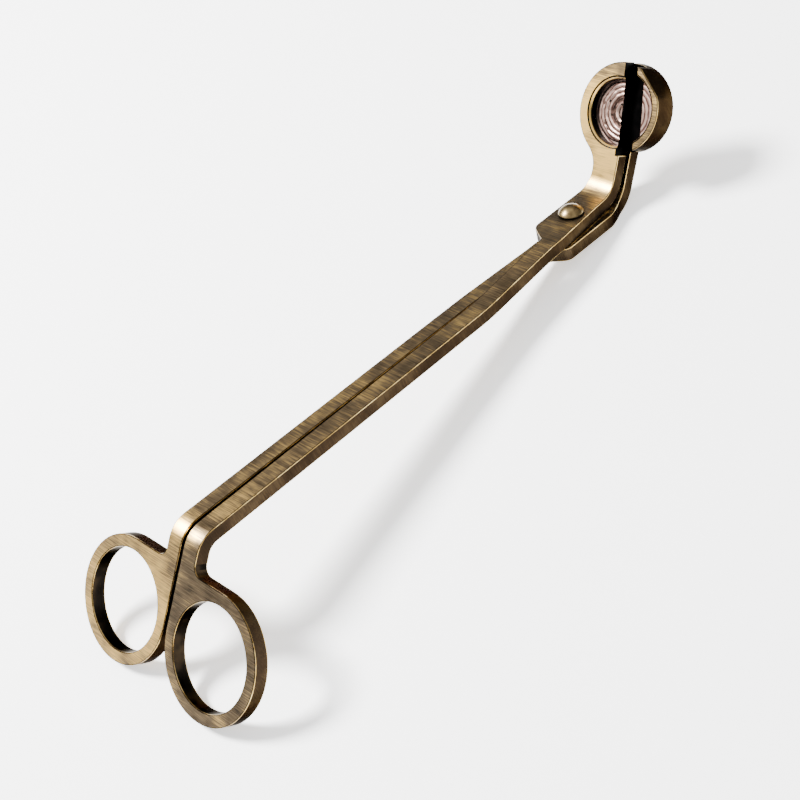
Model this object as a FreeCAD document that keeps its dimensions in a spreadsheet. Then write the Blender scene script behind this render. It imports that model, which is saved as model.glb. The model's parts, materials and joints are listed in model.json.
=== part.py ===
import FreeCAD, Part
import math
import os
import re
import Sketcher
from FreeCAD import Placement, Rotation, Vector

# A wick trimmer: two one-piece levers that cross at a domed rivet. The upper lever has the right
# finger ring, the right shank and the left half of the cup; the lower lever has the left ring, the
# left shank, and the right half of the cup with its raised rim.
#
# The levers are drawn in the shank's own frame: X runs along the shank from the handle elbow to
# the head elbow, Y to the left, Z out of the shank's top face. At the end everything is turned and
# moved together, so that the trimmer lies on z = 0 on its two rings and the lower lever's elbow.

SIZES = {
    # the flat bars that the levers are bent from
    "upper_thick": 3.3,
    "upper_wide": 4.4,
    "lower_thick": 3.4,
    "lower_wide": 3.95,
    "shank_long": 133.1,
    "shank_gap": 0.1,           # between the two shanks, closed
    "taper_from": 1.0,          # beyond the handle elbow, clear of its bend
    "taper_long": 56.25,        # to where the gap at the rings has closed to shank_gap
    "ring_bend": 55.2,          # degrees, rings down from the shank
    "ring_bend_inside": 3.2,
    "head_bend": 62.5,          # degrees, cup up from the shank
    "head_bend_inside": 5.6,
    # finger rings
    "ring_bore": 11.0,
    "ring_wall": 2.7,
    "ring_drop": 7.6,           # handle elbow to the ring's near edge
    "ring_gap": 0.85,           # between the two rings, closed
    "ring_corner": 2.05,
    # where one lever steps over the other; these places are measured back from the head elbow
    "step_start": 46.85,
    "step_end": 23.4,
    "step_up": 2.6,
    "step_round": 56.25,
    "lap_gap": 0.1,             # between the levers' faces at the pivot
    # flat boss round the rivet, with its places measured in the same way
    "boss_start": 22.5,
    "boss_slant": 3.4,
    "boss_side": 4.95,
    "boss_notch": 0.85,
    "boss_round": 2.45,
    "boss_corner": 4.9,
    "boss_end": 2.8,
    "taper_start": 20.6,
    "taper_end": 3.7,
    "neck_inner": 3.0,
    "upper_neck_outer": 3.85,
    "lower_neck_outer": 3.55,
    "neck_long": 1.9,           # elbow to the straight neck, along the shank
    "neck_lap": 3.75,           # elbow to the start of the head's own plate
    "neck_root": 2.5,           # how far the bent bar runs on into that plate
    "neck_relief": 0.5,         # how far the lower elbow stands beyond the upper one
    # the cup
    "cup_aside": 1.1,           # its centre, right of the pivot line
    "cup_blend": 6.55,
    "upper_cup_reach": 19.0,
    "upper_cup_radius": 11.85,
    "upper_tray_aside": 0.1,
    "upper_rim_wide": 4.1,      # from the tray to the outside of the cup
    "upper_tray_deep": 2.45,
    "upper_tray_flare": 0.6,
    "upper_cut_aside": 0.2,
    "upper_cut_turn": 4.9,      # degrees
    "blade_grind_wide": 1.2,
    "blade_grind_deep": 0.6,
    "notch_at": 9.3,
    "lower_cup_reach": 20.2,
    "lower_cup_radius": 10.4,
    "lower_cup_round": 1.3,     # round its underside
    "lower_rim_wide": 2.0,
    "lower_tray_deep": 2.8,
    "lower_tray_flare": 0.35,
    "blade_lap": 1.2,           # how far the lower blade reaches under the upper one
    "blade_gap": 0.14,          # between the two blades' faces
    "rim_cut_aside": 3.95,
    "rim_cut_turn": 8.4,        # degrees
    "facet_deep": 0.8,          # the flat on the outside of the lower rim, at its top
    "facet_turn": 42.5,         # degrees, its way out, to the right of the neck's
    "facet_lean": 14.0,         # degrees, out to the underside
    # pivot
    "pivot_back": 10.75,        # from the head elbow to the pivot
    "pivot_aside": 0.55,        # left of the pivot line
    "rivet_radius": 1.9,
    "rivet_play": 0.04,
    "rivet_head_radius": 3.1,
    "rivet_collar": 0.35,
    "rivet_dome": 1.75,
    "rivet_tail_radius": 2.7,
    "rivet_tail": 0.65,
}
SPARE = 20.0                    # how far a cutter runs past what it cuts
CLOSE = 0.01                    # how nearly a place, direction or volume found has to agree

# a ring's outside, and its centre down from the handle elbow
RING_RADIUS = "(ring_bore + ring_wall)"
RING_REACH = f"(ring_drop + {RING_RADIUS})"
UPPER_TRAY = "(upper_cup_radius - upper_rim_wide)"
LOWER_TRAY = "(lower_cup_radius - lower_rim_wide)"
# how the lower lever lies under the upper one: the drop of its flat, the place of its elbow, and
# the depth of its neck's face under the cup's rim
LOWER_DROP = "(step_up - upper_thick - lap_gap)"
LOWER_ELBOW = "(shank_long + upper_thick * tan(head_bend / 2) + neck_relief)"
LOWER_FACE = "(upper_thick + neck_relief * sin(head_bend) + lap_gap * cos(head_bend))"

doc = FreeCAD.newDocument("wick_trimmer")
sheet = doc.addObject("Spreadsheet::Sheet", "sizes")
for row, (alias, size) in enumerate(SIZES.items(), start=1):
    sheet.set(f"A{row}", alias)
    sheet.set(f"B{row}", str(size))
    sheet.setAlias(f"B{row}", alias)
doc.recompute()


def named(text):
    """Puts the sheet's name before each of its aliases in an expression."""
    return re.sub(r"[a-z_]+", lambda m: f"sizes.{m[0]}" if m[0] in SIZES else m[0], text)


def value(text):
    """An expression's value as a plain number."""
    found = sheet.evalExpression(named(text))
    return float(getattr(found, "Value", found))


def bind(thing, **expressions):
    """Binds an object's properties to expressions in the sheet's aliases."""
    for name, text in expressions.items():
        thing.setExpression(name.replace("__", "."), named(text))


def plane(body, role):
    """One of a body's own origin planes."""
    return next(f for f in body.Origin.OriginFeatures if f.Role == role)


def new_sketch(body, name, role="XY_Plane"):
    sketch = body.newObject("Sketcher::SketchObject", name)
    sketch.AttachmentSupport = [(plane(body, role), "")]
    sketch.MapMode = "FlatFace"
    return sketch


def add_loop(sketch, corners):
    """A closed outline whose corners are pairs of expressions."""
    first = sketch.GeometryCount
    points = [Vector(value(x), value(y), 0) for x, y in corners]
    for here, there in zip(points, points[1:] + points[:1]):
        sketch.addGeometry(Part.LineSegment(here, there), False)
    for i in range(len(corners)):
        last = first + (i - 1) % len(corners)
        sketch.addConstraint(Sketcher.Constraint("Coincident", last, 2, first + i, 1))
    for i, (corner, point) in enumerate(zip(corners, points)):
        for way, text, number in zip(("DistanceX", "DistanceY"), corner, point):
            place = sketch.addConstraint(Sketcher.Constraint(way, -1, 1, first + i, 1, number))
            sketch.setExpression(f"Constraints[{place}]", named(text))


def add_circle(sketch, x, y, radius):
    """A circle whose centre and radius are expressions."""
    centre = Vector(value(x), value(y), 0)
    ring = sketch.addGeometry(Part.Circle(centre, Vector(0, 0, 1), value(radius)), False)
    for way, text, number in (("DistanceX", x, centre.x), ("DistanceY", y, centre.y)):
        place = sketch.addConstraint(Sketcher.Constraint(way, -1, 1, ring, 3, number))
        sketch.setExpression(f"Constraints[{place}]", named(text))
    place = sketch.addConstraint(Sketcher.Constraint("Radius", ring, value(radius)))
    sketch.setExpression(f"Constraints[{place}]", named(radius))


def pad(body, sketch, up, down="0"):
    """A pad that rises above the sketch's plane and also goes below it."""
    made = body.newObject("PartDesign::Pad", f"{sketch.Name}_pad")
    made.Profile = sketch
    if down == "0":
        bind(made, Length=up)
    elif up == "0":
        made.Reversed = True
        bind(made, Length=down)
    else:
        made.SideType = "Two sides"
        bind(made, Length=up, Length2=down)
    doc.recompute()
    return made


def pocket(body, sketch, deep):
    """A pocket from the sketch's plane down into the body."""
    before = body.Shape.Volume
    made = body.newObject("PartDesign::Pocket", f"{sketch.Name}_pocket")
    made.Profile = sketch
    bind(made, Length=deep)
    doc.recompute()
    assert made.Shape.Volume < before - CLOSE, f"{made.Name} cut nothing"
    return made


def edge_at(shape, x, y, along):
    """The number of the straight edge parallel to an axis that stands nearest to a place."""
    best = None
    for number, edge in enumerate(shape.Edges, start=1):
        if edge.Curve.TypeId != "Part::GeomLine":
            continue
        if abs(edge.Curve.Direction.dot(along)) < 1 - CLOSE:
            continue
        middle = edge.CenterOfMass
        across = middle.y if along.z else middle.z
        gap = math.hypot(middle.x - x, across - y)
        if best is None or gap < best[0]:
            best = (gap, number)
    return f"Edge{best[1]}"


def trim_circle(body, kind, name, radius, level, **sizes):
    """Rounds or bevels the circular edge of a radius at a level, with a Fillet or a Chamfer."""
    base = body.Tip
    height = value(level)
    edges = [
        f"Edge{number}" for number, edge in enumerate(base.Shape.Edges, start=1)
        if edge.Curve.TypeId == "Part::GeomCircle"
        and abs(edge.Curve.Radius - value(radius)) < CLOSE
        and abs(edge.BoundBox.ZMax - height) + abs(edge.BoundBox.ZMin - height) < CLOSE
    ]
    made = body.newObject(f"PartDesign::{kind}", name)
    made.Base = (base, edges)
    bind(made, **sizes)
    doc.recompute()
    assert made.Shape.Volume < base.Shape.Volume, f"{name} cut nothing"


def round_edge(body, name, x, y, radius, along=Vector(0, 0, 1)):
    """Rounds the edge of a body that stands at a place given by expressions."""
    base = body.Tip
    made = body.newObject("PartDesign::Fillet", name)
    made.Base = (base, [edge_at(base.Shape, value(x), value(y), along)])
    bind(made, Radius=radius)
    doc.recompute()
    return made


def make_strip(name, thick, rise, elbow, rounded_step):
    """The bent bar seen from the side, wide enough for the whole plan to be cut from it.

    rise is how far the bar steps up before the pivot, and elbow is where its top face turns up to
    the cup. The slight step of the lower bar is left sharp.
    """
    body = doc.addObject("PartDesign::Body", name)
    sketch = new_sketch(body, f"{name}_side", "XZ_Plane")
    step_turn = f"atan(({rise}) / (step_start - step_end))"
    handle = "(ring_drop + ring_wall)"
    head = "(neck_lap + neck_root)"
    top = [
        (f"-{handle} * cos(ring_bend)", f"-{handle} * sin(ring_bend)"),
        ("0", "0"),
        ("shank_long - step_start", "0"),
        ("shank_long - step_end", rise),
        (elbow, rise),
        (f"{elbow} + {head} * cos(head_bend)", f"{rise} + {head} * sin(head_bend)"),
    ]
    under = [
        (f"{top[5][0]} + {thick} * sin(head_bend)", f"{top[5][1]} - {thick} * cos(head_bend)"),
        (f"{elbow} + {thick} * tan(head_bend / 2)", f"{rise} - {thick}"),
        (f"shank_long - step_end + {thick} * tan({step_turn} / 2)", f"{rise} - {thick}"),
        (f"shank_long - step_start + {thick} * tan({step_turn} / 2)", f"-{thick}"),
        (f"{thick} * tan(ring_bend / 2)", f"-{thick}"),
        (f"{top[0][0]} + {thick} * sin(ring_bend)", f"{top[0][1]} - {thick} * cos(ring_bend)"),
    ]
    add_loop(sketch, top + under)
    plate = pad(body, sketch, f"{2 * SPARE}")
    plate.SideType = "Symmetric"
    doc.recompute()
    across = Vector(0, 1, 0)
    corners = [
        (top[1], f"ring_bend_inside + {thick}"), (under[4], "ring_bend_inside"),
        (top[4], "head_bend_inside"), (under[1], f"head_bend_inside + {thick}"),
    ]
    if rounded_step:
        corners += [(place, "step_round") for place in (top[2], under[3], top[3], under[2])]
    for number, ((x, z), radius) in enumerate(corners):
        round_edge(body, f"{name}_bend_{number}", x, z, radius, across)
    return body


def make_plan(name, side, wide, neck_outer):
    """The lever seen from above between its ring and its cup; side is -1 for the right shank."""
    body = doc.addObject("PartDesign::Body", name)
    sketch = new_sketch(body, f"{name}_outline")
    inner, outer = "shank_gap / 2", f"(shank_gap / 2 + {wide})"
    slant_end = "(shank_long - boss_start + boss_slant)"
    corners = [
        (f"-{SPARE}", "ring_gap / 2"),
        ("taper_from", "ring_gap / 2"),
        ("taper_long", inner),
        ("shank_long - boss_start", inner),
        (slant_end, "-boss_side"),
        ("shank_long - boss_end", "-boss_side"),
        ("shank_long + neck_long", f"-{neck_outer}"),
        (f"shank_long + {SPARE}", f"-{neck_outer}"),
        (f"shank_long + {SPARE}", "neck_inner"),
        ("shank_long - taper_end", "neck_inner"),
        ("shank_long - taper_start", outer),
        ("taper_long", outer),
        ("taper_from", f"ring_gap / 2 + {wide}"),
        (f"-{SPARE}", f"ring_gap / 2 + {wide}"),
    ]
    add_loop(sketch, [(x, f"{side} * ({y})") for x, y in corners])
    pad(body, sketch, f"{SPARE}", f"{SPARE}")
    boss = [(corners[3], "boss_notch"), (corners[4], "boss_round"),
            (corners[5], "boss_corner"), (corners[6], "boss_corner")]
    for number, ((x, y), radius) in enumerate(boss):
        round_edge(body, f"{name}_corner_{number}", x, f"{side} * ({y})", radius)
    return body


def make_ring(name, side, thick, wide):
    """The finger ring and its web, drawn in the ring's own plane with the elbow at the origin."""
    body = doc.addObject("PartDesign::Body", name)
    centre = f"(ring_gap / 2 + {RING_RADIUS})"
    outer = f"(ring_gap / 2 + {wide})"
    web = new_sketch(body, f"{name}_web")
    start = f"((ring_bend_inside + {thick}) * tan(ring_bend / 2))"
    corners = [
        (start, "ring_gap / 2"), (RING_REACH, "ring_gap / 2"), (RING_REACH, centre),
        ("ring_drop", centre), ("ring_drop", outer), (start, outer),
    ]
    add_loop(web, [(f"-({x})", f"{side} * {y}") for x, y in corners])
    pad(body, web, "0", thick)
    round_edge(body, f"{name}_corner", "-ring_drop", f"{side} * {outer}", "ring_corner")
    disc = new_sketch(body, f"{name}_disc")
    add_circle(disc, f"-{RING_REACH}", f"{side} * {centre}", RING_RADIUS)
    pad(body, disc, "0", thick)
    bore = new_sketch(body, f"{name}_bore")
    add_circle(bore, f"-{RING_REACH}", f"{side} * {centre}", "ring_bore")
    pocket(body, bore, thick)
    body.Placement = Placement(Vector(0, 0, 0), Rotation(Vector(0, 1, 0), 0))
    bind(body, Placement__Rotation__Angle="-ring_bend")
    return body


def turned_box(reach, aside, turn, far):
    """A rectangle one side of which is a line turned about the cup's centre; far is how wide it is."""
    ends = []
    for along, across in ((-SPARE, 0), (SPARE, 0), (SPARE, far), (-SPARE, far)):
        x = f"{reach} + {along} * cos({turn}) - ({across}) * sin({turn})"
        y = f"{aside} + {along} * sin({turn}) + ({across}) * cos({turn})"
        ends.append((x, y))
    return ends


def lean_back(body, x="shank_long", z="step_up"):
    """Turns a body that is drawn flat up to the slope of the cup, with its origin at the elbow."""
    body.Placement = Placement(Vector(0, 0, 0), Rotation(Vector(0, 1, 0), 0))
    bind(body, Placement__Rotation__Angle="-head_bend", Placement__Base__x=x, Placement__Base__z=z)


def make_upper_cup():
    """The left half of the cup with its neck, drawn on the face of its rim."""
    body = doc.addObject("PartDesign::Body", "upper_cup")
    neck = new_sketch(body, "upper_neck")
    outer = "upper_neck_outer"
    add_loop(neck, [
        ("neck_lap", "-neck_inner"), ("notch_at", "-neck_inner"),
        ("upper_cup_reach", "-cup_aside"), ("upper_cup_reach", outer), ("neck_lap", outer),
    ])
    pad(body, neck, "0", "upper_thick")
    disc = new_sketch(body, "upper_disc")
    add_circle(disc, "upper_cup_reach", "-cup_aside", "upper_cup_radius")
    pad(body, disc, "0", "upper_thick")
    meet = f"upper_cup_reach - sqrt(upper_cup_radius ^ 2 - ({outer} + cup_aside) ^ 2)"
    round_edge(body, "upper_blend", meet, outer, "cup_blend")
    half = new_sketch(body, "upper_cut")
    aside = "-(cup_aside + upper_cut_aside)"
    cut = turned_box("upper_cup_reach", aside, "upper_cut_turn", -2 * SPARE)
    reach_back = "((upper_cup_reach - notch_at) / cos(upper_cut_turn))"
    start = (f"upper_cup_reach - {reach_back} * cos(upper_cut_turn)",
             f"{aside} - {reach_back} * sin(upper_cut_turn)")
    add_loop(half, [
        start, cut[1], cut[2], ("neck_lap", cut[2][1]), ("neck_lap", "-neck_inner"),
        (start[0], "-neck_inner"),
    ])
    pocket(body, half, "upper_thick")
    tray = new_sketch(body, "upper_tray")
    add_circle(tray, "upper_cup_reach", "-upper_tray_aside", UPPER_TRAY)
    pocket(body, tray, "upper_tray_deep")
    trim_circle(body, "Chamfer", "upper_tray_flared", UPPER_TRAY, "0", Size="upper_tray_flare")
    lean_back(body)
    return body


def make_lower_cup():
    """The right half of the cup: a plate under the upper half, with a rim that stands up to it."""
    body = doc.addObject("PartDesign::Body", "lower_cup")
    depth = f"({LOWER_FACE} + lower_thick)"
    disc = new_sketch(body, "lower_disc")
    add_circle(disc, "lower_cup_reach", "-cup_aside", "lower_cup_radius")
    pad(body, disc, "0", depth)
    trim_circle(body, "Fillet", "lower_underside", "lower_cup_radius", f"-{depth}",
                Radius="lower_cup_round")
    blade = new_sketch(body, "lower_blade_cut")
    edge = "-(cup_aside + upper_cut_aside) + blade_lap"
    add_loop(blade, turned_box("upper_cup_reach", edge, "upper_cut_turn", 2 * SPARE))
    pocket(body, blade, depth)
    step = new_sketch(body, "lower_step")
    edge = "-(cup_aside + rim_cut_aside)"
    add_loop(step, turned_box("lower_cup_reach", edge, "rim_cut_turn", 2 * SPARE))
    pocket(body, step, "upper_thick + blade_gap")
    tray = new_sketch(body, "lower_tray")
    add_circle(tray, "lower_cup_reach", "-cup_aside", LOWER_TRAY)
    pocket(body, tray, "lower_tray_deep")
    trim_circle(body, "Chamfer", "lower_tray_flared", LOWER_TRAY, "0", Size="lower_tray_flare")
    lean_back(body)
    return body


def make_lower_neck():
    """The lower lever's neck, which carries its half of the cup."""
    body = doc.addObject("PartDesign::Body", "lower_neck")
    neck = new_sketch(body, "lower_neck_outline")
    inside_cup = f"lower_cup_reach - {LOWER_TRAY}"
    add_loop(neck, [
        ("neck_lap", "neck_inner"), ("notch_at", "neck_inner"),
        ("notch_at + blade_lap", "-cup_aside"), (inside_cup, "-cup_aside"),
        (inside_cup, "-lower_neck_outer"), ("neck_lap", "-lower_neck_outer"),
    ])
    pad(body, neck, "0", "lower_thick")
    lean_back(body, f"shank_long + {LOWER_FACE} * sin(head_bend)",
              f"step_up - {LOWER_FACE} * cos(head_bend)")
    return body


def head_place(*moves):
    """The placement that leads from the elbow, turned up to the cup's slope, through each move.

    A move is a shift, and then a turn about one of the axes.
    """
    axes = {"x": "vector(1; 0; 0)", "y": "vector(0; 1; 0)", "z": "vector(0; 0; 1)"}
    first = ("shank_long; 0; step_up", "y", "-head_bend")
    return " * ".join(
        f"placement(vector({shift}); rotation({axes[axis]}; {turn}))"
        for shift, axis, turn in (first,) + moves
    )


def make_facet():
    """The block that grinds the flat on the outside of the lower rim, across from the neck."""
    block = doc.addObject("Part::Box", "facet")
    bind(block, Length=f"{SPARE}", Width=f"{2 * SPARE}", Height=f"{2 * SPARE}")
    bind(block, Placement=head_place(
        ("lower_cup_reach; -cup_aside; 0", "z", "-facet_turn"),
        ("lower_cup_radius - facet_deep; 0; 0", "y", "-facet_lean"),
        (f"0; -{SPARE}; -{SPARE}", "z", "0"),
    ))
    return block


def make_blade_grind():
    """The slope ground along the floor of the upper tray, down to its cutting edge."""
    block = doc.addObject("Part::Box", "grindstone")
    bind(block, Length=f"{2 * SPARE}", Width=f"{SPARE}", Height=f"{SPARE}")
    bind(block, Placement=head_place(
        ("upper_cup_reach; -cup_aside - upper_cut_aside; 0", "z", "upper_cut_turn"),
        ("0; blade_grind_wide; -upper_tray_deep", "x", "atan(blade_grind_deep / blade_grind_wide)"),
        (f"-{SPARE}; -{SPARE}; 0", "z", "0"),
    ))
    tray = doc.addObject("Part::Cylinder", "tray_well")
    bind(tray, Radius=UPPER_TRAY, Height="upper_thick")
    bind(tray, Placement=head_place(("upper_cup_reach; -upper_tray_aside; -upper_thick", "z", "0")))
    grind = doc.addObject("Part::Common", "blade_grind")
    grind.Base, grind.Tool = block, tray
    return grind


def make_cylinder(name, radius, height, z):
    """A round bar on the pivot's axis that starts at a height above the shank's top face."""
    made = doc.addObject("Part::Cylinder", name)
    bind(made, Radius=radius, Height=height, Placement__Base__x="shank_long - pivot_back",
         Placement__Base__y="pivot_aside", Placement__Base__z=z)
    return made


def make_lever(name, pieces, strip, plan, cutters):
    """The bent bar cut to its plan, joined to its ring and cup, with each cutter taken from it."""
    bar = doc.addObject("Part::Common", f"{name}_bar")
    bar.Base, bar.Tool = strip, plan
    lever = doc.addObject("Part::MultiFuse", f"{name}_whole")
    lever.Shapes = [bar] + pieces
    lever.Refine = True
    for cutter in cutters:
        whole = lever
        lever = doc.addObject("Part::Cut", f"{name}_less_{cutter.Name}")
        lever.Base, lever.Tool = whole, cutter
        lever.Refine = True
    doc.recompute()
    lever.Label = name
    return lever


upper_strip = make_strip("upper_strip", "upper_thick", "step_up", "shank_long", True)
lower_strip = make_strip("lower_strip", "lower_thick", LOWER_DROP, LOWER_ELBOW, False)
upper_plan = make_plan("upper_plan", -1, "upper_wide", "upper_neck_outer")
lower_plan = make_plan("lower_plan", 1, "lower_wide", "lower_neck_outer")
right_ring = make_ring("right_ring", -1, "upper_thick", "upper_wide")
left_ring = make_ring("left_ring", 1, "lower_thick", "lower_wide")
upper_cup = make_upper_cup()
lower_cup = make_lower_cup()
lower_neck = make_lower_neck()
doc.recompute()

upper_hole = make_cylinder("upper_hole", "rivet_radius + rivet_play", f"2 * {SPARE}", f"-{SPARE}")
lower_hole = make_cylinder("lower_hole", "rivet_radius", f"2 * {SPARE}", f"-{SPARE}")
upper_lever = make_lever("upper_lever", [right_ring, upper_cup], upper_strip, upper_plan,
                         [upper_hole, make_blade_grind()])
lower_lever = make_lever("lower_lever", [left_ring, lower_neck, lower_cup], lower_strip, lower_plan,
                         [lower_hole, make_facet()])


def make_rivet():
    """The pivot: a shaft with a domed head over the upper lever and a flat tail under the lower."""
    under = f"({LOWER_DROP} - lower_thick)"
    over = "(step_up + lap_gap)"
    shaft = make_cylinder("rivet_shaft", "rivet_radius", f"{over} + rivet_collar - {under}", under)
    collar = make_cylinder("rivet_collar", "rivet_head_radius", "rivet_collar", over)
    tail = make_cylinder("rivet_tail", "rivet_tail_radius", "rivet_tail", f"{under} - rivet_tail")
    crown = "((rivet_head_radius ^ 2 + rivet_dome ^ 2) / (2 * rivet_dome))"
    ball = doc.addObject("Part::Sphere", "rivet_ball")
    bind(ball, Radius=crown, Placement__Base__x="shank_long - pivot_back",
         Placement__Base__y="pivot_aside",
         Placement__Base__z=f"{over} + rivet_collar + rivet_dome - {crown}")
    block = make_cylinder("rivet_block", "rivet_head_radius", "rivet_dome",
                          f"{over} + rivet_collar")
    dome = doc.addObject("Part::Common", "rivet_crown")
    dome.Base, dome.Tool = ball, block
    rivet = doc.addObject("Part::MultiFuse", "pivot_rivet")
    rivet.Shapes = [tail, shaft, collar, dome]
    rivet.Refine = True
    doc.recompute()
    rivet.Label = "pivot_rivet"
    return rivet


pieces = [upper_lever, lower_lever, make_rivet()]


def resting_turn():
    """The turn about Y that lays the rings' ends and the lower elbow on one level, in degrees.

    It is the slope of the line from the thicker ring's lowest edge that touches the elbow's round.
    """
    reach = value(f"{RING_REACH} + {RING_RADIUS}")
    bend, thick = math.radians(value("ring_bend")), value("max(upper_thick; lower_thick)")
    ring = Vector(-reach * math.cos(bend) + thick * math.sin(bend), 0,
                  -reach * math.sin(bend) - thick * math.cos(bend))
    elbow = Vector(value(f"{LOWER_ELBOW} - head_bend_inside * tan(head_bend / 2)"), 0,
                   value(f"{LOWER_DROP} + head_bend_inside"))
    across = elbow - ring
    outside = value("head_bend_inside + lower_thick")
    return math.degrees(math.atan2(across.z, across.x) - math.asin(outside / across.Length))


turn = Rotation(Vector(0, 1, 0), resting_turn())
for piece in pieces:
    piece.Placement = Placement(Vector(0, 0, 0), turn)
box = pieces[0].Shape.optimalBoundingBox()
for piece in pieces[1:]:
    box.add(piece.Shape.optimalBoundingBox())
shift = Vector(-box.Center.x, -box.Center.y, -box.ZMin)
for piece in pieces:
    piece.Placement = Placement(shift, turn)

for thing in doc.Objects:
    assert not {"Invalid", "Error"} & set(thing.State), f"{thing.Name}: {thing.State}"
os.makedirs("parts", exist_ok=True)
for piece in pieces:
    assert not piece.Shape.isNull() and piece.Shape.isValid(), piece.Label
    assert len(piece.Shape.Solids) == 1, f"{piece.Label} has {len(piece.Shape.Solids)} solids"
    piece.Shape.exportStep(f"parts/{piece.Label}.step")
    print(piece.Label, round(piece.Shape.Volume, 2), piece.Shape.optimalBoundingBox())
pivot = turn.multVec(Vector(value("shank_long - pivot_back"), value("pivot_aside"),
                            value("step_up"))) + shift
print("turn", resting_turn(), "shift", shift, "pivot", pivot, "axis", turn.multVec(Vector(0, 0, 1)))
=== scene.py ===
import json
import math

import bmesh
import bpy
from mathutils import Euler, Matrix, Vector, noise


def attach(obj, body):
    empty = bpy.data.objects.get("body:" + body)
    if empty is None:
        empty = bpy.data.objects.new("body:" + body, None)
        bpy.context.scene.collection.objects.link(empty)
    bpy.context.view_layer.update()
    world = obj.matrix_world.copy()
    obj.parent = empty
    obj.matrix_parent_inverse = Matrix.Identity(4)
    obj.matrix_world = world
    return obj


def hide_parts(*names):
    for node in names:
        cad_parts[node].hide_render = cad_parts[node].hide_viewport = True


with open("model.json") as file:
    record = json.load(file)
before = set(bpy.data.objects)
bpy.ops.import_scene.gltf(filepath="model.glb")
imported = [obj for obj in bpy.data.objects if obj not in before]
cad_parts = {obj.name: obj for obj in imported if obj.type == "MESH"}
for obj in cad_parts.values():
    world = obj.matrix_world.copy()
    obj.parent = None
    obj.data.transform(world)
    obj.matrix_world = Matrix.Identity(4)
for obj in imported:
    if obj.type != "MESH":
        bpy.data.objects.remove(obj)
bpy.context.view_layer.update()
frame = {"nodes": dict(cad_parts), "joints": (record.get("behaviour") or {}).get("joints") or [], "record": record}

MM = 0.001
EDGE_ROUND = 0.22 * MM          # how far the finishing rounds every sharp edge
RIVET_ROUND = 0.1 * MM          # the same on the rivet, whose collar is low
ROUND_STEPS = 2                 # facets across a rounded edge
SHARP = math.radians(28)        # faces that meet at more than this have an edge
SAME_PLANE = math.radians(0.6)  # faces that meet at less than this are one
WELD = 0.01 * MM                # points nearer to each other than this are one

# sizes of the surface's patterns
BRUSH_SPACING = 0.2 * MM        # between two strokes, drawn coarser than it is so that it shows
BRUSH_LENGTH = 6.0 * MM         # of one stroke
BRUSH_DEEP = 0.03 * MM
PATINA_PATCH = 8 * MM           # from a darker to a lighter patch of the brushed plating
GRAIN_SIZE = 0.3 * MM           # of smooth metal, drawn coarser than it is so that it shows
GRAIN_DEEP = 0.02 * MM
TURNING_PITCH = 1.0 * MM        # between two marks of the turning tool
TURNING_DEEP = 0.08 * MM        # of the fine marks on top of the modelled ones
TURNING_PATCH = 1.1 * MM        # over which the turned floor changes in tone and height
WAVE_TURN = 20                  # radians in a metre of Blender's rings at a scale of 1


# ---- where things are, worked out from the frame ----

HEAD_TURN = math.radians(62.5)      # from the shank up to the cup
PIVOT_BACK = 10.75 * MM             # from the head's elbow to the pivot
SHANK_LONG = 133.1 * MM             # between the two elbows
STEP_UP = 2.6 * MM                  # of the upper lever, over the lower one
NECK_START = 5.5 * MM               # along the head, where its bend is over
CUP_START = 9.8 * MM                # along the head, where the neck ends
TRAY_REACH = 19.0 * MM              # the tray's centre, along the head
TRAY_DEEP = 2.45 * MM
RIM_LEVEL = -1.0 * MM               # what lies higher than this is the rim
BLADE_LEVEL = -3.1 * MM             # what lies lower than this is the lower blade
CUT_TURN = math.radians(4.9)        # of the cut between the two halves of the cup
CUT_ASIDE = -1.3 * MM               # its middle, across the head
CUT_REGION = 7 * MM                 # how far from the middle the cup's cut faces lie
GRIND_WIDE = 1.2 * MM               # the slope along the upper cutting edge
NECK_MIDDLE = 7 * MM                # along the head
RIM_ASIDE = 9 * MM                  # the middle of the upper rim, across from the cup's middle
BAR_ASIDE = 2.4 * MM                # the middle of each bar, across from the handle's elbow

hinge = frame["joints"][0]
shank_up = Vector(hinge["axis"]).normalized()
across = Vector((0, 1, 0))
shank_along = across.cross(shank_up)
head_along = math.cos(HEAD_TURN) * shank_along + math.sin(HEAD_TURN) * shank_up
head_up = head_along.cross(across)
pivot = Vector(hinge["pos_m"])
head_elbow = pivot + PIVOT_BACK * shank_along
head_elbow.y = 0
handle_elbow = head_elbow - SHANK_LONG * shank_along - STEP_UP * shank_up
mounts = {mount["name"]: mount for mount in frame["record"]["mounts"]}
right_ring = Vector(mounts["right_finger_ring"]["pos_m"])
left_ring = Vector(mounts["left_finger_ring"]["pos_m"])
ring_up = Vector(mounts["right_finger_ring"]["axis"]).normalized()
ring_along = ring_up.cross(across)
neck = head_elbow + NECK_MIDDLE * head_along
cup_middle = head_elbow + TRAY_REACH * head_along
upper_rim = cup_middle + RIM_ASIDE * across
right_bend = handle_elbow - BAR_ASIDE * across
left_bend = handle_elbow + BAR_ASIDE * across


# ---- materials ----

def srgb(code):
    """A hex colour as Blender's linear colour, opaque."""
    parts = [int(code[i:i + 2], 16) / 255 for i in (1, 3, 5)]
    linear = [p / 12.92 if p <= 0.04045 else ((p + 0.055) / 1.055) ** 2.4 for p in parts]
    return (*linear, 1.0)


def add(tree, kind, settings=None, **links):
    """Adds a node; settings are its properties, and links its inputs, as values or sockets.

    An input is named by its label, or by its number where several share one, such as i1.
    """
    node = tree.nodes.new(kind)
    for name, setting in (settings or {}).items():
        setattr(node, name, setting)
    for name, source in links.items():
        key = int(name[1:]) if name[0] == "i" and name[1:].isdigit() else name.replace("_", " ")
        if isinstance(source, bpy.types.NodeSocket):
            tree.links.new(source, node.inputs[key])
        else:
            node.inputs[key].default_value = source
    return node


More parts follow.
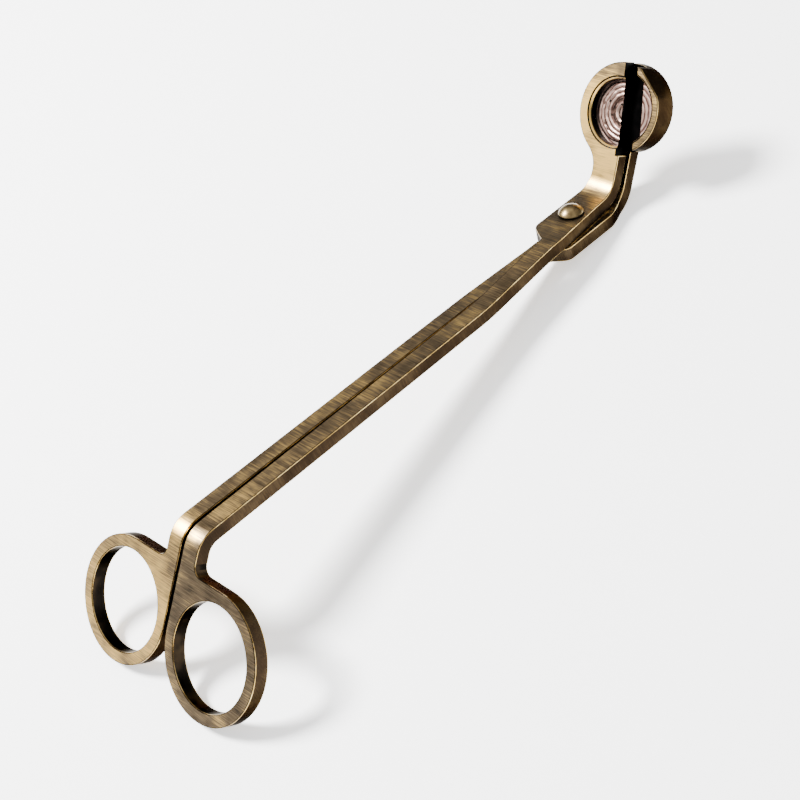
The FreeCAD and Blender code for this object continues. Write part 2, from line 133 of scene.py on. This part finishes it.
def new_material(name):
    """An empty material with its output and one Principled shader."""
    material = bpy.data.materials.new(name)
    material.use_nodes = True
    tree = material.node_tree
    tree.nodes.clear()
    shader = add(tree, "ShaderNodeBsdfPrincipled")
    add(tree, "ShaderNodeOutputMaterial", Surface=shader.outputs[0])
    return material, tree, shader


def ramp(tree, source, *stops):
    """A colour ramp; each stop is its place and its hex colour."""
    node = add(tree, "ShaderNodeValToRGB", Fac=source)
    while len(node.color_ramp.elements) < len(stops):
        node.color_ramp.elements.new(0.5)
    for element, (place, colour) in zip(node.color_ramp.elements, stops):
        element.position = place
        element.color = srgb(colour)
    return node.outputs["Color"]


def strokes(tree, stroke, seed):
    """Fine noise drawn out along one axis of the object; stroke is x, y or z."""
    place = add(tree, "ShaderNodeTexCoord").outputs["Object"]
    scale = [1 / BRUSH_SPACING] * 3
    scale["xyz".index(stroke)] = 1 / BRUSH_LENGTH
    drawn = add(tree, "ShaderNodeMapping", Vector=place, Scale=scale, Location=(seed, seed, seed))
    return add(tree, "ShaderNodeTexNoise", Vector=drawn.outputs[0], Scale=1.0, Detail=3.0,
               Roughness=0.7).outputs["Fac"]


def patches(tree, size, seed):
    """Slow variation over the object, such as an uneven patina; size is in metres."""
    place = add(tree, "ShaderNodeTexCoord").outputs["Object"]
    moved = add(tree, "ShaderNodeMapping", Vector=place, Location=(seed, seed, seed))
    return add(tree, "ShaderNodeTexNoise", Vector=moved.outputs[0], Scale=1 / size, Detail=2.0,
               Roughness=0.55).outputs["Fac"]


def near(tree, place, size):
    """1 at a place on the object, falling to 0 at a distance of size from it."""
    here = add(tree, "ShaderNodeTexCoord").outputs["Object"]
    moved = add(tree, "ShaderNodeMapping", {"vector_type": "TEXTURE"}, Vector=here,
                Location=place, Scale=(size, size, size))
    return add(tree, "ShaderNodeTexGradient", {"gradient_type": "SPHERICAL"},
               Vector=moved.outputs[0]).outputs["Fac"]


def weigh(tree, source, weight, rest):
    """A source times its weight, added to the rest."""
    return add(tree, "ShaderNodeMath", {"operation": "MULTIPLY_ADD"}, i0=source, i1=weight,
               i2=rest).outputs[0]


def brushed_bronze(name, dark, middle, light, stroke="y", seed=0.0, contrast=0.85, wear_and_painted_light=(),
                   glancing="#FFFFFF"):
    """Antique bronze plating, worn back with a fine brush so that streaks of brass show.

    The eye sees short bright and dark streaks side by side, over slow darker and lighter patches.
    wear_and_painted_light lists places painted brighter or darker, each with its size and how much:
    painted highlights, reflections and shade, some of them over real rub marks.
    """
    material, tree, shader = new_material(name)
    shader.inputs["Specular Tint"].default_value = srgb(glancing)
    fine = strokes(tree, stroke, seed)
    # both noises are 0.5 on average, and so is the tone, whatever the contrast
    tone = weigh(tree, patches(tree, PATINA_PATCH, seed), 0.7,
                 weigh(tree, fine, contrast, 0.15 - contrast / 2))
    # painted highlights, reflections and shade at the listed places, some of them over real rub marks
    for place, size, more in wear_and_painted_light:
        tone = weigh(tree, near(tree, place, size), more, tone)
    colour = ramp(tree, tone, (0.2, dark), (0.5, middle), (0.85, light))
    tree.links.new(colour, shader.inputs["Base Color"])
    gloss = add(tree, "ShaderNodeMapRange", Value=fine, i3=0.28, i4=0.44)
    tree.links.new(gloss.outputs[0], shader.inputs["Roughness"])
    shader.inputs["Metallic"].default_value = 1.0
    relief = add(tree, "ShaderNodeBump", Strength=0.3, Distance=BRUSH_DEEP, Height=fine)
    tree.links.new(relief.outputs[0], shader.inputs["Normal"])
    return material


def patchy_metal(name, size, seed, dark, middle, light, rough, glancing="#FFFFFF"):
    """Bare or plated metal whose colour and gloss change slowly from patch to patch."""
    material, tree, shader = new_material(name)
    shader.inputs["Specular Tint"].default_value = srgb(glancing)
    slow = patches(tree, size, seed)
    colour = ramp(tree, slow, (0.3, dark), (0.52, middle), (0.75, light))
    tree.links.new(colour, shader.inputs["Base Color"])
    gloss = add(tree, "ShaderNodeMapRange", Value=slow, i3=rough[0], i4=rough[1])
    tree.links.new(gloss.outputs[0], shader.inputs["Roughness"])
    shader.inputs["Metallic"].default_value = 1.0
    place = add(tree, "ShaderNodeTexCoord").outputs["Object"]
    grain = add(tree, "ShaderNodeTexNoise", Vector=place, Scale=1 / GRAIN_SIZE, Detail=2.0)
    relief = add(tree, "ShaderNodeBump", Strength=0.12, Distance=GRAIN_DEEP,
                 Height=grain.outputs["Fac"])
    tree.links.new(relief.outputs[0], shader.inputs["Normal"])
    return material


def turned_metal():
    """The floor of the tray: rough turned and thinly plated, so it is a pale pinkish bronze.

    The eye sees pale bands and thin dark arcs round the tray's middle, all a little ragged.
    """
    material, tree, shader = new_material("rough_turned_pale_bronze")
    lean = Matrix((head_along, across, head_up)).transposed().to_euler()
    place = add(tree, "ShaderNodeMapping", {"vector_type": "TEXTURE"},
                Vector=add(tree, "ShaderNodeTexCoord").outputs["Object"],
                Location=cup_middle + CUT_ASIDE * across, Rotation=lean)
    rings = add(tree, "ShaderNodeTexWave", {"wave_type": "RINGS", "rings_direction": "Z"},
                Vector=place.outputs[0], Scale=math.tau / (WAVE_TURN * TURNING_PITCH),
                Distortion=5.0, Detail=4.0, Detail_Scale=0.35, Detail_Roughness=0.7).outputs["Fac"]
    tone = weigh(tree, rings, 0.75, weigh(tree, patches(tree, TURNING_PATCH, 9.0), 0.5, -0.05))
    colour = ramp(tree, tone, (0.12, "#2A1B15"), (0.36, "#56403A"), (0.62, "#866C61"),
                  (0.95, "#AB9286"))
    tree.links.new(colour, shader.inputs["Base Color"])
    shader.inputs["Metallic"].default_value = 1.0
    gloss = add(tree, "ShaderNodeMapRange", Value=rings, i3=0.55, i4=0.34)
    tree.links.new(gloss.outputs[0], shader.inputs["Roughness"])
    relief = add(tree, "ShaderNodeBump", Strength=0.5, Distance=TURNING_DEEP, Height=tone)
    tree.links.new(relief.outputs[0], shader.inputs["Normal"])
    return material


OLD_BRONZE = ("#30261A", "#6E5D44", "#E6BC6C")  # patina, plating, and brass showing through
DULL_GLANCE = "#A5A3A0"                         # tint of what dull metal reflects at a low angle
# flat faces: brushed, so streaked across; the left ring and the neck are painted the brightest, as a
# painted reflection and a painted highlight. Also painted: the upper rim brighter as a painted reflection,
# the metal round the pivot darker as painted shade, the right ring a little darker as a painted
# reflection, and the bends brighter as painted highlights over rub marks
right_faces = brushed_bronze(
    "brushed_antique_bronze_with_painted_light_of_right_lever", *OLD_BRONZE, seed=1.0,
    wear_and_painted_light=[(right_ring, 22 * MM, -0.1), (neck, 10 * MM, 0.45), (pivot, 5.5 * MM, -0.45),
            (upper_rim, 13 * MM, 0.45), (right_bend, 2.6 * MM, 0.45)])
# the left ring is painted pale as a painted reflection, and its bend brighter as a painted highlight over rub
# marks
left_faces = brushed_bronze(
    "brushed_antique_bronze_with_painted_light_of_left_lever", *OLD_BRONZE, seed=4.0,
    wear_and_painted_light=[(left_ring, 26 * MM, 0.35), (left_bend, 2.6 * MM, 0.45)])
# sides: less worn, so browner, and painted darker as painted shade; streaked along their thickness, and painted
# darkest round the cup as painted shade
sides = brushed_bronze("brushed_bronze_with_painted_shade_on_the_sides", "#15110C", "#2A2118", "#4E412E",
                       stroke="z", seed=2.0, contrast=0.6, glancing=DULL_GLANCE,
                       wear_and_painted_light=[(cup_middle, 14 * MM, -0.35)])
# walls that the brush didn't reach: smooth, very dark, with a brown cast: dark plating, painted darker still as
# painted shade in the ring bores, between the bars and under the rivet's dome
patina_and_shade = patchy_metal("dark_patina_and_painted_shade_on_bronze_plating", 5 * MM, 3.0, "#070605", "#110E0B",
                      "#2C241A", (0.22, 0.38), DULL_GLANCE)
# edges worn through to the brass: thin broken bright lines round every face
edges = patchy_metal("brass_worn_bright_at_the_edges", 4 * MM, 5.0, "#7C6438", "#B0935C",
                     "#E6CC92", (0.2, 0.34))
# ground cutting faces and the cup's inner walls, coloured darkest of all as painted shade: almost no light comes
# back
shade_black = patchy_metal("ground_steel_painted_dark_as_shade", 2 * MM, 7.0, "#010101", "#020202", "#050404",
                     (0.45, 0.6))
tray_floor = turned_metal()
# the bottoms of the floor's turning marks, which hold dark plating salts
groove = patchy_metal("dark_plating_in_turning_marks", 0.9 * MM, 11.0, "#14100E", "#2A1F1A",
                      "#5A463C", (0.4, 0.55))
# the rivet's head: smooth plating, rubbed by the fingers
rivet_metal = patchy_metal("smooth_antique_bronze_of_rivet", 3 * MM, 6.0, "#5A4A32", "#8E7A54",
                           "#CDB88C", (0.24, 0.36))
other_metals = [sides, patina_and_shade, edges, shade_black, tray_floor]

# the finishes of a piece, in the order of its materials: its own metal and then the others
FACE, SIDE, WALL, EDGE, BLADE, FLOOR = range(6)


# ---- the levers and the rivet ----

# how squarely a face looks one way: 1 is straight that way, 0 is side on, -1 is away from it
STRAIGHT = 0.97         # a flat face that looks that way
AWAY = -0.9             # a flat face that looks the other way
SLANT = 0.6             # the least that a ground slope looks that way
SIDEWAYS = 0.5          # the least that the side of a bar looks across the tool
DOME = 0.45             # the least that the rivet's domes look up or down
TOP_OF_EDGE = 0.75      # the least that a rounded edge's facet beside the flat top looks up


def flat_way(point):
    """Which way the lever's flat top looks at a point: on its ring, its shank or its head."""
    if (point - head_elbow).dot(head_along) > NECK_START:
        return head_up
    from_handle = point - handle_elbow
    if from_handle.dot(ring_along) > 0 and from_handle.dot(shank_along) < 0:
        return ring_up
    return shank_up


def finish_at(point, normal):
    """Which finish a lever has at a point whose face looks along normal."""
    beyond = point - head_elbow
    reach, rise = beyond.dot(head_along), beyond.dot(head_up)
    up = flat_way(point)
    flat = normal.dot(up)
    if up == head_up:
        if flat > STRAIGHT:
            if rise > RIM_LEVEL:
                return FACE
            if rise > BLADE_LEVEL:
                return FLOOR
            return BLADE if reach > CUP_START else WALL
        if flat > SLANT:
            return FACE if rise > RIM_LEVEL else BLADE
        if flat < AWAY:
            return FACE
        if reach < CUP_START:
            return SIDE
        # the cup's inward walls and the cut faces take the blade metal: painted shade in the cup
        inward = normal.dot(beyond - TRAY_REACH * head_along - rise * head_up) < 0
        cut = abs(normal.y) > STRAIGHT and abs(point.y) < CUT_REGION
        return BLADE if (inward or cut) and flat > -SLANT else SIDE
    if up == ring_up:
        if abs(flat) > SLANT:
            return FACE
        centre = left_ring if point.y > 0 else right_ring
        # the ring's bore takes the wall metal: dark plating and painted shade
        return WALL if normal.dot(point - centre) < 0 else SIDE
    if abs(normal.y) < SIDEWAYS:
        return FACE
    # a bar's side that faces the other bar takes the wall metal: dark plating and painted shade between the bars
    return WALL if normal.y * point.y < 0 else SIDE


def finish_rivet(point, normal):
    """The rivet's domes are worn smooth; its upright walls and rounded edges take the dark wall metal, as painted
    shade under the dome.
    """
    return FACE if abs(normal.dot(shank_up)) > DOME else WALL


def finish_part(node, piece, body, metals, finish, rim, edge_round):
    """A copy of a CAD node with its edges rounded and each of its faces given its own finish.

    finish gives a face's finish from its middle and its normal, and rim is that of the edges.
    """
    work = bmesh.new()
    work.from_mesh(frame["nodes"][node].data)
    bmesh.ops.remove_doubles(work, verts=work.verts, dist=WELD)
    bmesh.ops.dissolve_limit(work, verts=work.verts, edges=work.edges, angle_limit=SAME_PLANE)
    work.normal_update()
    for face in work.faces:
        face.material_index = finish(face.calc_center_median(), face.normal)
    sharp = [edge for edge in work.edges
             if len(edge.link_faces) == 2 and edge.calc_face_angle() > SHARP and edge.is_convex]
    strips = bmesh.ops.bevel(work, geom=sharp, offset=edge_round, segments=ROUND_STEPS, profile=0.5,
                             affect="EDGES", clamp_overlap=False, material=-1)["faces"]
    work.normal_update()
    for face in strips:
        if face.material_index != BLADE:
            flat = face.normal.dot(flat_way(face.calc_center_median()))
            # a rounded edge's facet beside the flat top takes the dark wall metal, a thin dark line along the edge
            face.material_index = WALL if flat > TOP_OF_EDGE else rim
    for face in work.faces:
        face.smooth = True
    data = bpy.data.meshes.new(piece)
    work.to_mesh(data)
    work.free()
    data.set_sharp_from_angle(angle=SHARP)
    for material in metals:
        data.materials.append(material)
    made = bpy.data.objects.new(piece, data)
    bpy.context.scene.collection.objects.link(made)
    made.modifiers.new("even_shading", "WEIGHTED_NORMAL").keep_sharp = True
    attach(made, body)
    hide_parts(node)


# the turning marks in mm: how far out from their middle, and how high over the tray's floor
MARKS = [(0.0, 0.16), (0.35, 0.24), (0.6, 0.04), (0.95, 0.06), (1.3, 0.28), (1.7, 0.24),
         (1.95, 0.02), (2.15, 0.04), (2.5, 0.30), (2.9, 0.26), (3.15, 0.0), (3.6, 0.02),
         (3.9, 0.30), (4.5, 0.24), (4.75, 0.10), (5.0, 0.24), (5.5, 0.26), (5.75, 0.08),
         (6.0, 0.22), (6.9, 0.20), (7.2, 0.0)]
MARKS_BED = -0.05 * MM              # how far they are let into the floor
MARKS_ASIDE = 0.1 * MM              # how far the whole of them lies towards the cut
MARKS_SHIFT = 1.6 * MM              # how much farther their middle lies towards it
MARKS_RAGGED = 0.09 * MM            # how far their heights vary
MARKS_SMOOTH = math.radians(60)     # ridges sharper than this catch the light as a line
GROOVE_LEVEL = 0.13 * MM            # what lies lower than this is a groove
ROUND_ABOUT = 96                    # steps in a full turn
RIDGE, GROOVE = range(2)


def make_turning_marks():
    """The rough ridges left in the tray's floor, cut off where the cutting edge was ground."""
    middle = cup_middle - MARKS_ASIDE * across - TRAY_DEEP * head_up
    work = bmesh.new()
    profile = [middle + out * MM * across + high * MM * head_up for out, high in MARKS]
    outside = MARKS[-1][0] * MM
    profile += [middle + outside * across + MARKS_BED * head_up, middle + MARKS_BED * head_up]
    points = [work.verts.new(p) for p in profile]
    lines = [work.edges.new(pair) for pair in zip(points, points[1:])]
    bmesh.ops.spin(work, geom=points + lines, cent=middle, axis=head_up, angle=math.tau,
                   steps=ROUND_ABOUT, use_merge=True, use_normal_flip=False)
    bmesh.ops.remove_doubles(work, verts=work.verts, dist=WELD)
    for point in work.verts:
        out = point.co - middle
        high = out.dot(head_up)
        share = 1 - (out - high * head_up).length / outside
        point.co -= share * MARKS_SHIFT * across
        if high > 0:
            point.co += MARKS_RAGGED * noise.noise(point.co / TURNING_PATCH) * head_up
    start = cup_middle + (CUT_ASIDE + GRIND_WIDE) * across
    cut = bmesh.ops.bisect_plane(work, geom=work.verts[:] + work.edges[:] + work.faces[:],
                                 plane_co=start, plane_no=-across + math.tan(CUT_TURN) * head_along,
                                 clear_outer=True)
    border = [part for part in cut["geom_cut"] if isinstance(part, bmesh.types.BMEdge)]
    bmesh.ops.holes_fill(work, edges=border)
    bmesh.ops.recalc_face_normals(work, faces=work.faces)
    for face in work.faces:
        high = (face.calc_center_median() - middle).dot(head_up)
        face.material_index = GROOVE if high < GROOVE_LEVEL else RIDGE
        face.smooth = True
    data = bpy.data.meshes.new("tray_turning_marks")
    work.to_mesh(data)
    work.free()
    data.set_sharp_from_angle(angle=MARKS_SMOOTH)
    data.materials.append(tray_floor)
    data.materials.append(groove)
    marks = bpy.data.objects.new("tray_turning_marks", data)
    bpy.context.scene.collection.objects.link(marks)
    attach(marks, "upper")


finish_part("upper_lever", "upper_lever_finished", "upper",
            [right_faces, *other_metals], finish_at, EDGE, EDGE_ROUND)
finish_part("lower_lever", "lower_lever_finished", "lower",
            [left_faces, *other_metals], finish_at, EDGE, EDGE_ROUND)
# the rivet's rounded edges take the dark wall metal too, as painted shade
finish_part("pivot_rivet", "pivot_rivet_finished", "lower",
            [rivet_metal, *other_metals], finish_rivet, WALL, RIVET_ROUND)
make_turning_marks()


# ---- camera, light and floor ----

CAMERA_PLACE = (-127.94, -209.43, 232.54)   # mm
CAMERA_TURN = (44.105, 18.280, -47.634)     # degrees
CAMERA_LENS = 67.23                         # mm, on a sensor 36 mm wide
KEY_PLACE = (-0.25, 0.5, 0.75)              # metres
KEY_SIZE = 0.3                              # metres across
KEY_POWER = 42                              # watts
FLOOR_REACH = 10.0                          # metres, so that its end is far off in side views


def put_camera():
    """The camera, looking from the rings' end over the tool to its cup."""
    data = bpy.data.cameras.new("camera")
    data.lens = CAMERA_LENS
    data.sensor_width = 36
    data.clip_start = 0.01
    camera = bpy.data.objects.new("camera", data)
    camera.location = Vector(CAMERA_PLACE) * MM
    camera.rotation_euler = Euler([math.radians(angle) for angle in CAMERA_TURN])
    bpy.context.scene.collection.objects.link(camera)
    bpy.context.scene.camera = camera


def put_light():
    """One soft round light, high up on the tool's left and aimed at its middle."""
    data = bpy.data.lights.new("key", "AREA")
    data.shape = "DISK"
    data.size = KEY_SIZE
    data.energy = KEY_POWER
    light = bpy.data.objects.new("key", data)
    light.location = KEY_PLACE
    light.rotation_euler = (-Vector(KEY_PLACE)).to_track_quat("-Z", "Y").to_euler()
    bpy.context.scene.collection.objects.link(light)


def make_studio():
    """A floor of white paper and a grey sky: darkest just above the horizon, white overhead."""
    work = bmesh.new()
    bmesh.ops.create_grid(work, x_segments=1, y_segments=1, size=FLOOR_REACH)
    data = bpy.data.meshes.new("floor")
    work.to_mesh(data)
    work.free()
    floor = bpy.data.objects.new("floor", data)
    bpy.context.scene.collection.objects.link(floor)
    material, tree, shader = new_material("white_paper")
    shader.inputs["Base Color"].default_value = srgb("#FFFFFF")
    shader.inputs["Roughness"].default_value = 0.9
    shader.inputs["Emission Color"].default_value = srgb("#FFFFFF")
    shader.inputs["Emission Strength"].default_value = 1.0
    data.materials.append(material)
    world = bpy.data.worlds.new("studio")
    world.use_nodes = True
    tree = world.node_tree
    direction = add(tree, "ShaderNodeTexCoord").outputs["Generated"]
    height = add(tree, "ShaderNodeSeparateXYZ", Vector=direction).outputs["Z"]
    sky = ramp(tree, height, (0.0, "#C8C8C8"), (0.1, "#A0A0A0"), (0.2, "#5A5A5A"),
               (0.45, "#909090"), (0.95, "#FFFFFF"))
    tree.links.new(sky, tree.nodes["Background"].inputs["Color"])
    tree.nodes["Background"].inputs["Strength"].default_value = 1.5
    bpy.context.scene.world = world


put_camera()
make_studio()
put_light()
